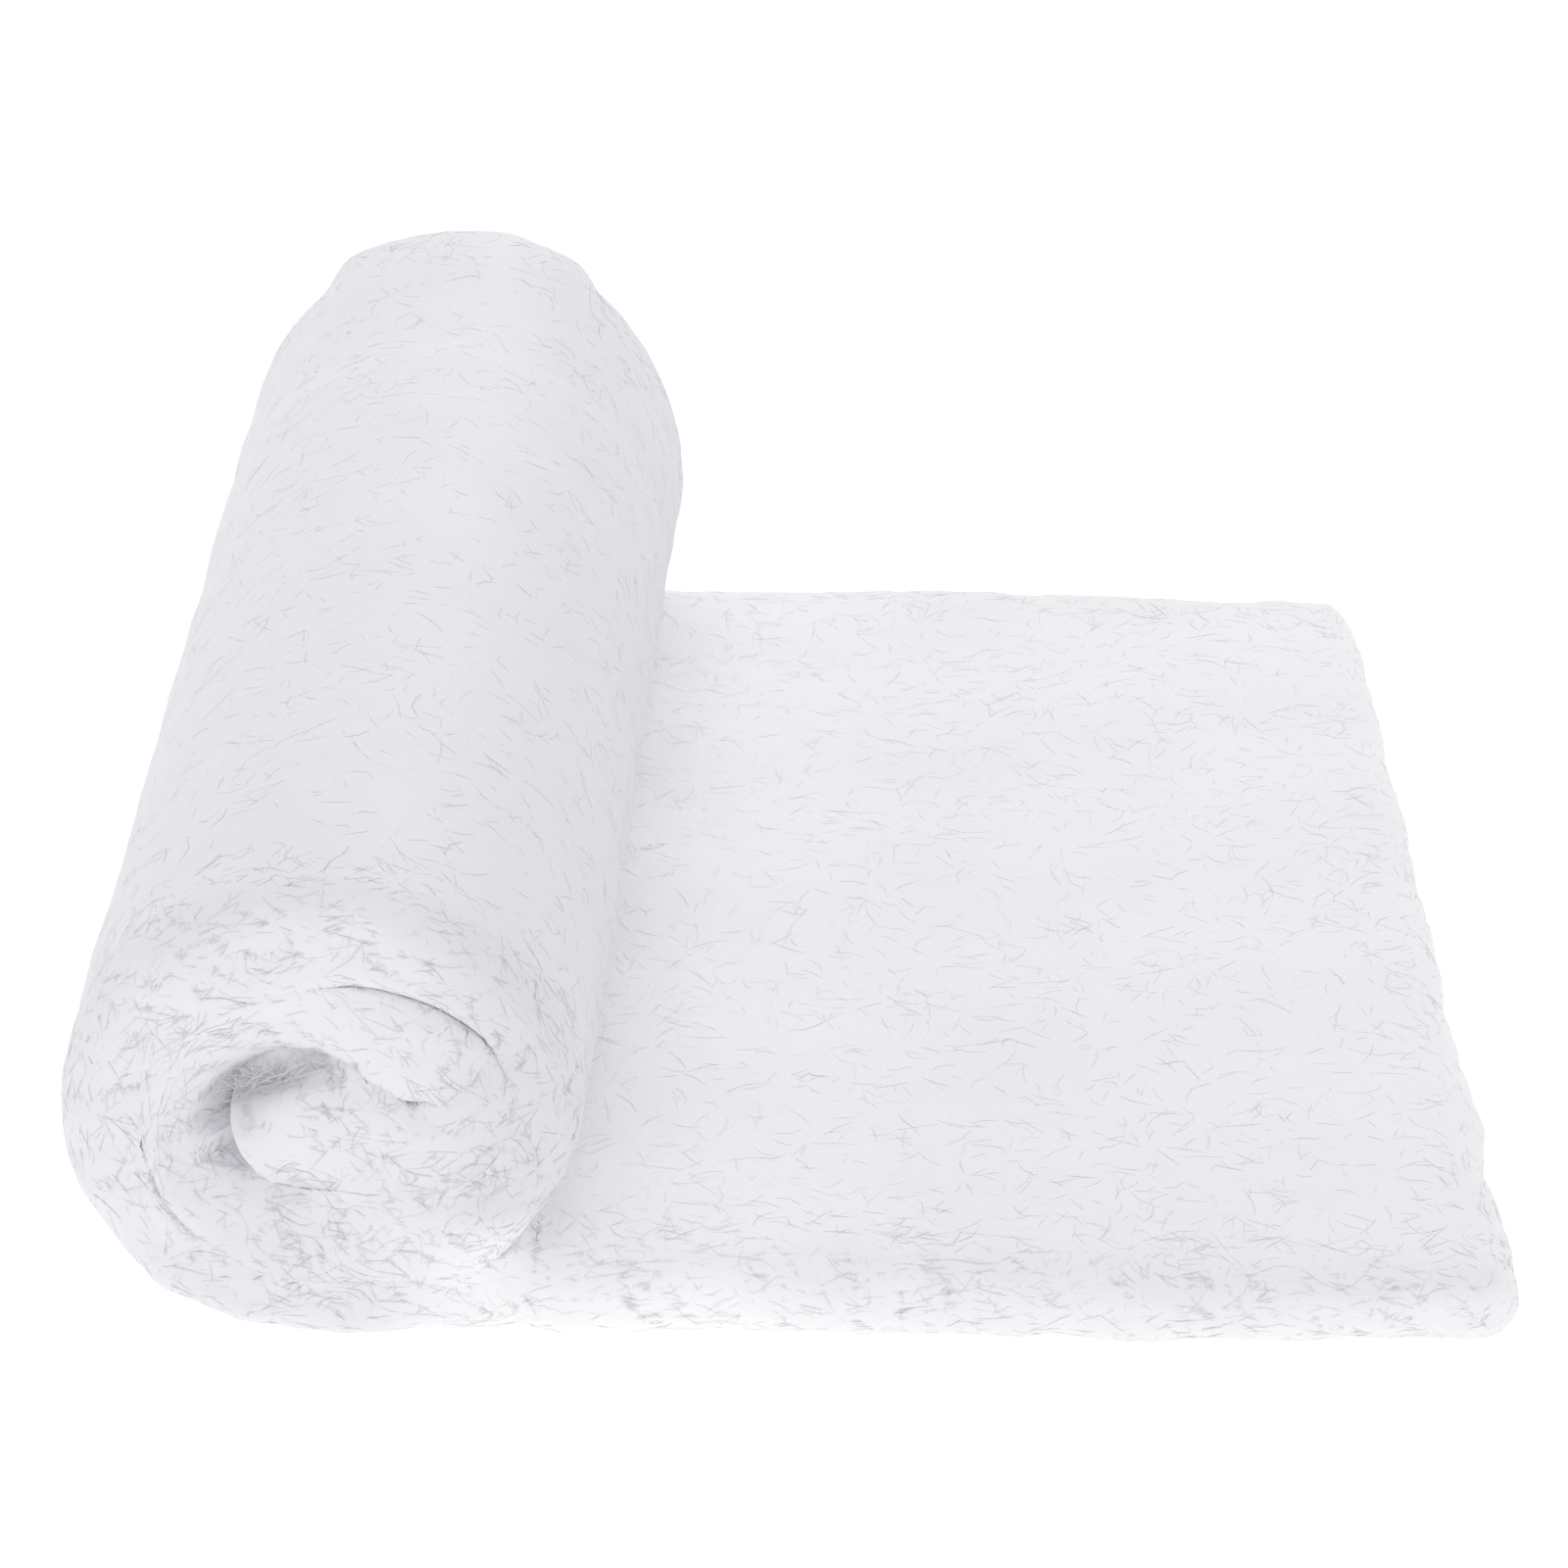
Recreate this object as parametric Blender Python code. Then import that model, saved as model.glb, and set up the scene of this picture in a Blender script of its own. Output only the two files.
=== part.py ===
"""Acoustic insulation sheet: one piece of white polyester wadding, partly unrolled.

The sheet is made flat at its real size, its cut edges are rounded, and it is then
wound: two turns of a loose roll stand on the end of a flat flap. Seen from the front
(along +Y) the flap runs along the floor from the right, goes up the left side of the
roll, over the top, down the right side and round once more, and the inner end of the
sheet folds back across the middle of the roll.
"""

import math

import bmesh
import bpy
import numpy as np

# Flat sheet, in metres
SHEET_LENGTH = 1.062
SHEET_WIDTH = 0.50
SHEET_THICKNESS = 0.030
EDGE_ROUNDING = 0.013

# Thickness of the wadding where the winding and the roll's weight squeeze it
WOUND_THICKNESS = 0.0275
UNDER_ROLL_THICKNESS = 0.022
LEFT_WRAP_THICKNESS = 0.0245
TOP_WRAP_THICKNESS = 0.031
RIGHT_WRAP_THICKNESS = 0.018
INNER_BOTTOM_THICKNESS = 0.030
INNER_LEFT_THICKNESS = 0.018

# Roll, at its front end
TURN_GAP = 0.0020
HOLLOW_HEIGHT = 0.019
HOLLOW_WIDTH = 0.012
FOLD_INNER_RADIUS = 0.006
FOLD_CENTRE_X = 0.0315
CORE_END_X = -0.020
CORE_BEND_RADIUS = 0.20
CREST_X = 0.009
BOTTOM_RUN = 0.028
SIDE_DROP = 0.004
LEFT_HEIGHT_SHARE = 0.46

# Growth of the outer turn from the front end to the looser back end, where the inner
# turn is narrower
TOP_LOOSENING = 0.021
LEFT_LOOSENING = 0.006
RIGHT_LOOSENING = 0.012
INNER_NARROWING = 0.018

# Waves of the flap's top, which run along its length
WAVE_HEIGHT = 0.0018
WAVE_SPACING = 0.115
WAVE_DRIFT = 0.030
WAVE_FADE_LENGTH = 0.060

# Spacing of the mesh
FLAP_STEP = 0.030
WOUND_STEP = 0.0140
WIDTH_STEP = 0.026
ROUNDING_SEGMENTS = 3
ARC_SAMPLES = 60
RIM_ANGLE = math.radians(60)

FIBRE_WHITE = (0.86, 0.86, 0.88, 1.0)
FIBRE_ROUGHNESS = 0.95


def smooth_step(share):
    """Eases from 0 to 1, and keeps to them outside."""
    share = min(1.0, max(0.0, share))
    return share * share * (3 - 2 * share)


def stations(looseness):
    """Outer face of the roll where it runs level or upright, a quarter turn apart.

    Each station is x, z and the thickness of the wadding there. The first is the line
    where the flap leaves the floor, and the last is the start of the straight core.
    Looseness is 0 at the front end and 1 at the back end.
    """
    fold_radius = FOLD_INNER_RADIUS + WOUND_THICKNESS
    inner_bottom = UNDER_ROLL_THICKNESS + TURN_GAP
    core_bottom = inner_bottom + INNER_BOTTOM_THICKNESS + TURN_GAP
    inner_top = core_bottom + 2 * WOUND_THICKNESS + HOLLOW_HEIGHT
    outer_top = inner_top + TURN_GAP + TOP_WRAP_THICKNESS + looseness * TOP_LOOSENING
    inner_left = CORE_END_X - HOLLOW_WIDTH - INNER_LEFT_THICKNESS
    outer_left = inner_left - TURN_GAP - LEFT_WRAP_THICKNESS - looseness * LEFT_LOOSENING
    fold_centre = FOLD_CENTRE_X - looseness * INNER_NARROWING
    inner_right = fold_centre + fold_radius
    front_right = FOLD_CENTRE_X + fold_radius + TURN_GAP + RIGHT_WRAP_THICKNESS
    outer_right = front_right + looseness * RIGHT_LOOSENING
    fold_height = core_bottom + fold_radius
    # The fold's upper arc bends no tighter than the wadding is thick
    fold_rise = inner_top - fold_height
    fold_reach = fold_rise ** 2 / (WOUND_THICKNESS + FOLD_INNER_RADIUS / 2)
    inner_crest = max(CREST_X, inner_right - fold_reach)
    return [
        (0.0, 0.0, UNDER_ROLL_THICKNESS),
        (outer_left, outer_top * LEFT_HEIGHT_SHARE, LEFT_WRAP_THICKNESS),
        (CREST_X, outer_top, TOP_WRAP_THICKNESS),
        (outer_right, fold_height - SIDE_DROP, RIGHT_WRAP_THICKNESS),
        (BOTTOM_RUN, inner_bottom, INNER_BOTTOM_THICKNESS),
        (0.0, inner_bottom, INNER_BOTTOM_THICKNESS),
        (inner_left, (inner_bottom + inner_top) / 2, INNER_LEFT_THICKNESS),
        (inner_crest, inner_top, WOUND_THICKNESS),
        (inner_right, fold_height, WOUND_THICKNESS),
        (fold_centre, core_bottom, WOUND_THICKNESS),
    ]


def wound_path(looseness, reach):
    """Samples the roll's outer face, inward normals, thickness and mid-line length."""
    points = []
    normals = []
    thickness = []
    marks = stations(looseness)
    quarter = 0
    for first, last in zip(marks[:-1], marks[1:]):
        level = first[1] == last[1]
        leaves_level = quarter % 2 == 0
        centre_x = first[0] if leaves_level else last[0]
        centre_z = last[1] if leaves_level else first[1]
        half_width = abs(last[0] - first[0])
        half_height = abs(last[1] - first[1])
        for step in range(ARC_SAMPLES):
            share = step / ARC_SAMPLES
            thickness.append(first[2] + (last[2] - first[2]) * smooth_step(share))
            if level:
                points.append((first[0] - half_width * share, first[1]))
                normals.append(np.array([0.0, 1.0]))
                continue
            angle = math.pi / 2 * (quarter + share)
            points.append((centre_x - half_width * math.sin(angle),
                           centre_z - half_height * math.cos(angle)))
            normal = np.array([half_height * math.sin(angle), half_width * math.cos(angle)])
            normals.append(normal / np.linalg.norm(normal))
        if not level:
            quarter += 1
    core_x, core_z, core_thickness = marks[-1]
    for angle in np.linspace(0.0, reach / CORE_BEND_RADIUS, ARC_SAMPLES):
        points.append((core_x - CORE_BEND_RADIUS * math.sin(angle),
                       core_z + CORE_BEND_RADIUS * (1 - math.cos(angle))))
        normals.append(np.array([math.sin(angle), math.cos(angle)]))
        thickness.append(core_thickness)
    points = np.array(points)
    normals = np.array(normals)
    thickness = np.array(thickness)
    middle = points + normals * thickness[:, None] / 2
    steps = np.linalg.norm(np.diff(middle, axis=0), axis=1)
    length = np.concatenate([[0.0], np.cumsum(steps)])
    return points, normals, thickness, length


def wound_length():
    """Mid-line length that the roll takes up at its front end."""
    core_start = stations(0.0)[-1][0]
    core_length = core_start - CORE_END_X
    return wound_path(0.0, core_length)[3][-1]


def wave(along, across):
    """Height of the flap's soft waves, which fade out under the roll."""
    fade = min(1.0, max(0.0, along / WAVE_FADE_LENGTH))
    phase = 2 * math.pi * (across + WAVE_DRIFT * math.sin(2 * math.pi * along / SHEET_WIDTH)) / WAVE_SPACING
    return WAVE_HEIGHT * fade * math.sin(phase)


def flap_thickness(along):
    """Thickness of the flap, which the roll squeezes where it stands on it."""
    right_side = stations(0.0)[3][0]
    clear = smooth_step((along - BOTTOM_RUN) / (right_side - BOTTOM_RUN))
    return UNDER_ROLL_THICKNESS + (SHEET_THICKNESS - UNDER_ROLL_THICKNESS) * clear


def flat_sheet(flap_length):
    """Flat sheet on the floor: x from the free end, y across, with rounded rims."""
    flap_columns = round(flap_length / FLAP_STEP)
    wound_columns = round((SHEET_LENGTH - flap_length) / WOUND_STEP)
    columns = flap_columns + wound_columns
    rows = round(SHEET_WIDTH / WIDTH_STEP)
    along = np.concatenate([
        np.linspace(0.0, flap_length, flap_columns + 1),
        np.linspace(flap_length, SHEET_LENGTH, wound_columns + 1)[1:],
    ])
    sheet = bmesh.new()
    bmesh.ops.create_grid(sheet, x_segments=columns, y_segments=rows, size=0.5)
    for vertex in sheet.verts:
        column = round((vertex.co.x + 0.5) * columns)
        vertex.co.x = along[column]
        vertex.co.y *= SHEET_WIDTH
    bmesh.ops.solidify(sheet, geom=sheet.faces[:], thickness=SHEET_THICKNESS)
    lowest = min(vertex.co.z for vertex in sheet.verts)
    for vertex in sheet.verts:
        vertex.co.z -= lowest
    bmesh.ops.recalc_face_normals(sheet, faces=sheet.faces[:])
    rim = [edge for edge in sheet.edges if edge.calc_face_angle(0.0) > RIM_ANGLE]
    bmesh.ops.bevel(sheet, geom=rim, offset=EDGE_ROUNDING, offset_type="OFFSET",
                    segments=ROUNDING_SEGMENTS, profile=0.5, affect="EDGES",
                    clamp_overlap=True)
    return sheet


def wind(sheet, flap_length):
    """Moves each point of the flat sheet to its place on the flap or in the roll."""
    paths = {}
    for vertex in sheet.verts:
        along, across, height = vertex.co
        share = height / SHEET_THICKNESS
        if along <= flap_length:
            x = flap_length - along
            vertex.co.x = x
            vertex.co.z = share * (flap_thickness(x) + wave(x, across))
            continue
        key = round(across, 5)
        if key not in paths:
            looseness = across / SHEET_WIDTH + 0.5
            paths[key] = wound_path(looseness, SHEET_LENGTH)
        points, normals, thickness, length = paths[key]
        distance = along - flap_length
        x = np.interp(distance, length, points[:, 0])
        z = np.interp(distance, length, points[:, 1])
        normal_x = np.interp(distance, length, normals[:, 0])
        normal_z = np.interp(distance, length, normals[:, 1])
        depth = share * np.interp(distance, length, thickness)
        vertex.co.x = x + normal_x * depth
        vertex.co.z = z + normal_z * depth


def centre_on_floor(sheet):
    """Puts the bottom centre of the piece's box at the origin."""
    places = np.array([vertex.co[:] for vertex in sheet.verts])
    lowest = places.min(axis=0)
    highest = places.max(axis=0)
    middle = (lowest + highest) / 2
    bmesh.ops.translate(sheet, verts=sheet.verts[:], vec=(-middle[0], -middle[1], -lowest[2]))


def fibre_material():
    """Matt white polyester fibre."""
    material = bpy.data.materials.new("polyester_wadding")
    material.use_nodes = True
    shader = material.node_tree.nodes["Principled BSDF"]
    shader.inputs["Base Color"].default_value = FIBRE_WHITE
    shader.inputs["Roughness"].default_value = FIBRE_ROUGHNESS
    shader.inputs["Metallic"].default_value = 0.0
    return material


def wadding_sheet():
    """The whole object, in a collection of its own."""
    flap_length = SHEET_LENGTH - wound_length()
    sheet = flat_sheet(flap_length)
    wind(sheet, flap_length)
    centre_on_floor(sheet)
    bmesh.ops.recalc_face_normals(sheet, faces=sheet.faces[:])
    mesh = bpy.data.meshes.new("wadding_sheet")
    sheet.to_mesh(mesh)
    sheet.free()
    mesh.materials.append(fibre_material())
    mesh.shade_smooth()
    piece = bpy.data.objects.new("wadding_sheet", mesh)
    collection = bpy.data.collections.new("acoustic_insulation_sheet")
    bpy.context.scene.collection.children.link(collection)
    collection.objects.link(piece)
    return piece


for leftover in list(bpy.data.objects):
    bpy.data.objects.remove(leftover, do_unlink=True)

wadding_sheet()
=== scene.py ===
"""Looks of the acoustic insulation sheet: a partly unrolled sheet of white polyester wadding.

The CAD solid is replaced by a finer sheet, wound along the same path, with soft lumps, puffed
cut edges and turns that touch. Joined meshes of fine curled fibres lie on every side of it.
"""

import math

import bmesh
import bpy
import numpy as np
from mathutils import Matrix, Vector, noise
from mathutils.bvhtree import BVHTree


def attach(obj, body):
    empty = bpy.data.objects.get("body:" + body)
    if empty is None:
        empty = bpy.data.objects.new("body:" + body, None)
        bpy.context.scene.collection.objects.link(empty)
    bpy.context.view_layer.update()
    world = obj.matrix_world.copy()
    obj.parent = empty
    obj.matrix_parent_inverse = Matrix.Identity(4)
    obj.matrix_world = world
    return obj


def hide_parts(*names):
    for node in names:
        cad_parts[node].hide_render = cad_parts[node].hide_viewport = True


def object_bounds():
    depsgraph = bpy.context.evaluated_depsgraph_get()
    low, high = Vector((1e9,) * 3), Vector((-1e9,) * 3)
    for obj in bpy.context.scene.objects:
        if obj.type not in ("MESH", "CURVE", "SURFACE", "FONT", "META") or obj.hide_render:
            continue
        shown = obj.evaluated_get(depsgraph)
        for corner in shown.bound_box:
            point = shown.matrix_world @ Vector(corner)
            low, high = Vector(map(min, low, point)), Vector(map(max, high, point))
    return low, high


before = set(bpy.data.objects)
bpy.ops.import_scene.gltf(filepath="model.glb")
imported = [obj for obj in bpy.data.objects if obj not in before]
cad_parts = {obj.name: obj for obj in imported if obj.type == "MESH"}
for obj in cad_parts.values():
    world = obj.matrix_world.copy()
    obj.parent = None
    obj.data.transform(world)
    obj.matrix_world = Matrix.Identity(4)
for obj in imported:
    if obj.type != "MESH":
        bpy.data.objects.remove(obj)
cad_bounds = [list(corner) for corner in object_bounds()]

# The sheet's sizes and winding, in metres, as the CAD solid has them
SHEET_LENGTH = 1.062
SHEET_WIDTH = 0.50
SHEET_THICKNESS = 0.030
EDGE_ROUNDING = 0.013
WOUND_THICKNESS = 0.0275
UNDER_ROLL_THICKNESS = 0.022
LEFT_WRAP_THICKNESS = 0.0245
TOP_WRAP_THICKNESS = 0.031
RIGHT_WRAP_THICKNESS = 0.018
INNER_BOTTOM_THICKNESS = 0.030
INNER_LEFT_THICKNESS = 0.018
TURN_GAP = 0.0020
HOLLOW_HEIGHT = 0.019
HOLLOW_WIDTH = 0.012
FOLD_INNER_RADIUS = 0.006
FOLD_CENTRE_X = 0.0315
CORE_END_X = -0.020
CORE_BEND_RADIUS = 0.20
CREST_X = 0.009
BOTTOM_RUN = 0.028
SIDE_DROP = 0.004
LEFT_HEIGHT_SHARE = 0.46
TOP_LOOSENING = 0.021
LEFT_LOOSENING = 0.006
RIGHT_LOOSENING = 0.012
INNER_NARROWING = 0.018
WAVE_HEIGHT = 0.0018
WAVE_SPACING = 0.115
WAVE_DRIFT = 0.030
WAVE_FADE_LENGTH = 0.060

# Fine mesh
ALONG_STEP = 0.0042
ACROSS_STEP = 0.0040
ROUNDING_SEGMENTS = 6
ARC_SAMPLES = 60
TABLE_ROWS = 21
TABLE_STEP = 0.001
RIM_ANGLE = math.radians(60)

# Puffing inside the roll at its front end: quarter turns from the floor line, extra thickness.
# Past the ninth quarter, a tenth is one centimetre along the straight core.
CREASE_PUFF = ((6.9, 0.0), (7.05, 0.0040), (7.2, 0.0062), (7.5, 0.0078), (7.8, 0.0055), (8.0, 0.0022))
CORE_PUFF = ((8.0, 0.0022), (8.6, 0.0040), (9.0, 0.0048), (9.07, 0.0058), (9.12, 0.0068),
             (9.2, 0.0086), (9.27, 0.0104), (9.33, 0.0160), (9.37, 0.0125), (9.45, 0.0075),
             (9.56, 0.0030))
TIP_LIFT = 0.0070
CORE_SCALE = 10.0

# Share of the rounding that a cut edge keeps, where it touches the next turn or stands free
SEAM_KEEP = 0.0
OPEN_SEAM_KEEP = 0.14
HOLLOW_KEEP = 0.9
CREASE_KEEP = 0.35
UNDER_KEEP = 0.0
BACK_KEEP = 0.70
SEAM_GAP = -0.0003
OPEN_SEAM_GAP = 0.0007
CORNER_ANGLE = math.radians(55)

# Front end: the left of the inner turn lies deeper, and the core's end stands out
LEFT_RECESS = 0.006
CORE_PROUD = 0.004
CORE_STRETCH = 0.004
END_DEPTH = 0.045

# Gaps up to this wide are closed at the front end, and the hollow closes further in
CLOSED_GAP = 0.0060
OPEN_GAP = 0.0100
WEDGE_CLOSED = 0.0040
WEDGE_OPEN = 0.0150
HOLLOW_DEPTH = (0.006, 0.021)
DEEP_STRETCH = 0.007
DEEP_PUFF = 0.014

# Back end of the outer turn: a puffed crest and a faint ring
BACK_CREST_PUFF = 0.007
BACK_CREST_HALF_WIDTH = 0.052
BACK_RING_DEPTH = 0.0015
BACK_RING_FROM_END = 0.095
BACK_RING_WIDTH = 0.016

# Soft lumps: height and size of each layer of noise
BROAD_LUMP = (0.0014, 0.050)
MIDDLE_LUMP = (0.0005, 0.016)
FINE_LUMP = (0.00016, 0.005)
EDGE_LUMP = (0.0016, 0.020)
EDGE_TUFT = (0.0008, 0.0070)
EDGE_SCALLOP = (0.0014, 0.035)

# Fibres
FIBRE_POINTS = 5
FIBRE_FLATNESS = 0.35
FLAP_FIBRES = 10300
ROLL_FIBRES = 10800
FRONT_FIBRES = 10800
BACK_FIBRES = 8500
HOLLOW_STRANDS = 110

# Material: the base colours below hold painted light and shade
ROLL_COLOUR = (0.825, 0.827, 0.857)
# Painted shade: the roll's right side, turned from the light, is painted darker than the rest of the
# roll
ROLL_RIGHT_PAINTED_SHADE = (0.740, 0.740, 0.766)
# Painted light: the flap beside the roll is painted lighter, to cancel the shade where roll and flap
# meet
JUNCTION_PAINTED_LIGHT = (0.930, 0.930, 0.942)
# The flap's colour is painted lighter than the roll's, standing in for the table's light shining
# through the thin sheet
FLAP_COLOUR_AND_PAINTED_LIGHT = (0.875, 0.875, 0.890)
# Roll colours along x: its own colour, easing into the painted shade on its right side
ROLL_MARKS = ((0.020, ROLL_COLOUR), (0.074, ROLL_RIGHT_PAINTED_SHADE))
# Flap colours along x: the roll's colour, then the painted light beside the roll, then the flap's own
# lighter colour
FLAP_MARKS = ((0.010, ROLL_COLOUR), (0.055, JUNCTION_PAINTED_LIGHT), (0.110, JUNCTION_PAINTED_LIGHT),
              (0.210, FLAP_COLOUR_AND_PAINTED_LIGHT))
# Heights over which the flap's colours, with their painted light, give way to the roll's
ROLL_HEIGHT = (0.034, 0.052)
TONE_SPREAD = 0.020
STRAND_TONE = 0.25
STRAND_BUMP = 0.06
GRAIN_BUMP = 0.12
CLOUD_SCALE = 22.0
GRAIN_SCALE = 700.0
SHEEN = 0.10
FIBRE_BRIGHTNESS = 1.0

# Light
SKY_STRENGTH = 0.87
KEY_PLACE = (0.25, 1.0, 1.2)
KEY_SIZE = 1.6
KEY_POWER = 4.5
FLOOR_COLOUR = (0.50, 0.50, 0.50, 1.0)
FLOOR_GLOW = 0.72

# Camera, in the row frame
IMAGE_WIDTH = 1600
FOCAL_PIXELS = 4079
SENSOR_WIDTH = 36.0
CAMERA_X = 0.1637
CAMERA_DISTANCE = 1.0247
CAMERA_HEIGHT = 0.7467
CAMERA_TILT = 28.03
CAMERA_YAW = 0.96


def smooth(value, low, high):
    """Smooth step from 0 at low to 1 at high."""
    share = np.clip((value - low) / (high - low), 0, 1)
    return share * share * (3 - 2 * share)


def stations(looseness):
    """Outer face of the roll where it runs level or upright, a quarter turn apart."""
    fold_radius = FOLD_INNER_RADIUS + WOUND_THICKNESS
    inner_bottom = UNDER_ROLL_THICKNESS + TURN_GAP
    core_bottom = inner_bottom + INNER_BOTTOM_THICKNESS + TURN_GAP
    inner_top = core_bottom + 2 * WOUND_THICKNESS + HOLLOW_HEIGHT
    outer_top = inner_top + TURN_GAP + TOP_WRAP_THICKNESS + looseness * TOP_LOOSENING
    inner_left = CORE_END_X - HOLLOW_WIDTH - INNER_LEFT_THICKNESS
    outer_left = inner_left - TURN_GAP - LEFT_WRAP_THICKNESS - looseness * LEFT_LOOSENING
    fold_centre = FOLD_CENTRE_X - looseness * INNER_NARROWING
    inner_right = fold_centre + fold_radius
    front_right = FOLD_CENTRE_X + fold_radius + TURN_GAP + RIGHT_WRAP_THICKNESS
    outer_right = front_right + looseness * RIGHT_LOOSENING
    fold_height = core_bottom + fold_radius
    fold_rise = inner_top - fold_height
    fold_reach = fold_rise ** 2 / (WOUND_THICKNESS + FOLD_INNER_RADIUS / 2)
    inner_crest = max(CREST_X, inner_right - fold_reach)
    return [
        (0.0, 0.0, UNDER_ROLL_THICKNESS),
        (outer_left, outer_top * LEFT_HEIGHT_SHARE, LEFT_WRAP_THICKNESS),
        (CREST_X, outer_top, TOP_WRAP_THICKNESS),
        (outer_right, fold_height - SIDE_DROP, RIGHT_WRAP_THICKNESS),
        (BOTTOM_RUN, inner_bottom, INNER_BOTTOM_THICKNESS),
        (0.0, inner_bottom, INNER_BOTTOM_THICKNESS),
        (inner_left, (inner_bottom + inner_top) / 2, INNER_LEFT_THICKNESS),
        (inner_crest, inner_top, WOUND_THICKNESS),
        (inner_right, fold_height, WOUND_THICKNESS),
        (fold_centre, core_bottom, WOUND_THICKNESS),
    ]


def wound_path(looseness, reach):
    """Samples the roll's outer face, inward normals, thickness, quarter turns and length."""
    points = []
    normals = []
    thickness = []
    quarters = []
    marks = stations(looseness)
    quarter = 0
    for index, (first, last) in enumerate(zip(marks[:-1], marks[1:])):
        level = first[1] == last[1]
        leaves_level = quarter % 2 == 0
        centre_x = first[0] if leaves_level else last[0]
        centre_z = last[1] if leaves_level else first[1]
        half_width = abs(last[0] - first[0])
        half_height = abs(last[1] - first[1])
        for step in range(ARC_SAMPLES):
            share = step / ARC_SAMPLES
            thickness.append(first[2] + (last[2] - first[2]) * float(smooth(share, 0.0, 1.0)))
            quarters.append(index + share)
            if level:
                points.append((first[0] - half_width * share, first[1]))
                normals.append(np.array([0.0, 1.0]))
                continue
            angle = math.pi / 2 * (quarter + share)
            points.append((centre_x - half_width * math.sin(angle),
                           centre_z - half_height * math.cos(angle)))
            normal = np.array([half_height * math.sin(angle), half_width * math.cos(angle)])
            normals.append(normal / np.linalg.norm(normal))
        if not level:
            quarter += 1
    core_x, core_z, core_thickness = marks[-1]
    for angle in np.linspace(0.0, reach / CORE_BEND_RADIUS, ARC_SAMPLES):
        points.append((core_x - CORE_BEND_RADIUS * math.sin(angle),
                       core_z + CORE_BEND_RADIUS * (1 - math.cos(angle))))
        normals.append(np.array([math.sin(angle), math.cos(angle)]))
        thickness.append(core_thickness)
        quarters.append(len(marks) - 1 + CORE_SCALE * CORE_BEND_RADIUS * angle)
    points = np.array(points)
    normals = np.array(normals)
    thickness = np.array(thickness)
    middle = points + normals * thickness[:, None] / 2
    steps = np.linalg.norm(np.diff(middle, axis=0), axis=1)
    length = np.concatenate([[0.0], np.cumsum(steps)])
    return points, normals, thickness, np.array(quarters), length


def wound_length():
    """Mid-line length that the roll takes up at its front end."""
    core_length = stations(0.0)[-1][0] - CORE_END_X
    return wound_path(0.0, core_length)[4][-1]


FLAP_LENGTH = SHEET_LENGTH - wound_length()
ORIGIN_SHIFT = FLAP_LENGTH - cad_bounds[1][0]
FRONT_Y = -SHEET_WIDTH / 2
RIGHT_SIDE = stations(0.0)[3][0]
OUTER_TURN_LENGTH = wound_path(0.5, 0.0)[4][4 * ARC_SAMPLES]


def window(value, low, high, blend):
    """1 between low and high, easing to 0 outside."""
    return smooth(value, low - blend, low) * (1 - smooth(value, high, high + blend))


def upper_right(quarters):
    """1 at the upper right of the roll, where the seam between the two turns opens."""
    outer = window(quarters, 2.15, 2.65, 0.2)
    inner = window(quarters, 7.15, 7.65, 0.2)
    return np.clip(outer + inner, 0, 1)


def inner_puff(quarters):
    """Extra thickness that nearly closes the crease over the core."""
    puff = np.where(quarters < 8.0, np.interp(quarters, *zip(*CREASE_PUFF)),
                    np.interp(quarters, *zip(*CORE_PUFF)))
    return np.where(quarters < CREASE_PUFF[0][0], 0.0, puff)


def gap_inside(points, normals, thickness, quarters):
    """Gap from each turn's inner face to the turn that lies inside it, 0 where it is wide."""
    inner = points + normals * thickness[:, None]
    gaps = np.zeros(len(points))
    for index in range(len(points)):
        inside = points[quarters > quarters[index] + 3.2]
        if len(inside):
            gaps[index] = np.linalg.norm(inside - inner[index], axis=1).min()
    return gaps * (1 - smooth(gaps, CLOSED_GAP, OPEN_GAP))


def winding_table():
    """Outer face, inward normal, thickness and quarter turns by length wound and row across."""
    distances = np.arange(0.0, SHEET_LENGTH - FLAP_LENGTH + 0.03, TABLE_STEP)
    table = np.zeros((TABLE_ROWS, len(distances), 6))
    for row in range(TABLE_ROWS):
        looseness = row / (TABLE_ROWS - 1)
        points, normals, thickness, quarters, length = wound_path(looseness, 0.2)
        closing = gap_inside(points, normals, thickness, quarters)
        closing = closing - SEAM_GAP - OPEN_SEAM_GAP * upper_right(quarters)
        thickness = thickness + (np.maximum(closing, 0.0) + inner_puff(quarters)) * (1 - looseness)
        for column, values in enumerate([points[:, 0], points[:, 1], normals[:, 0],
                                         normals[:, 1], thickness, quarters]):
            table[row, :, column] = np.interp(distances, length, values)
    return table


WINDING = winding_table()


def wound_values(distance, across):
    """Reads the winding table between its rows and columns."""
    row = np.clip((across / SHEET_WIDTH + 0.5) * (TABLE_ROWS - 1), 0, TABLE_ROWS - 1.001)
    column = np.clip(distance / TABLE_STEP, 0, WINDING.shape[1] - 1.001)
    low_row = row.astype(int)
    low_column = column.astype(int)
    across_share = (row - low_row)[:, None]
    along_share = (column - low_column)[:, None]
    near = WINDING[low_row, low_column] * (1 - along_share)
    near = near + WINDING[low_row, low_column + 1] * along_share
    far = WINDING[low_row + 1, low_column] * (1 - along_share)
    far = far + WINDING[low_row + 1, low_column + 1] * along_share
    return near * (1 - across_share) + far * across_share


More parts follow.
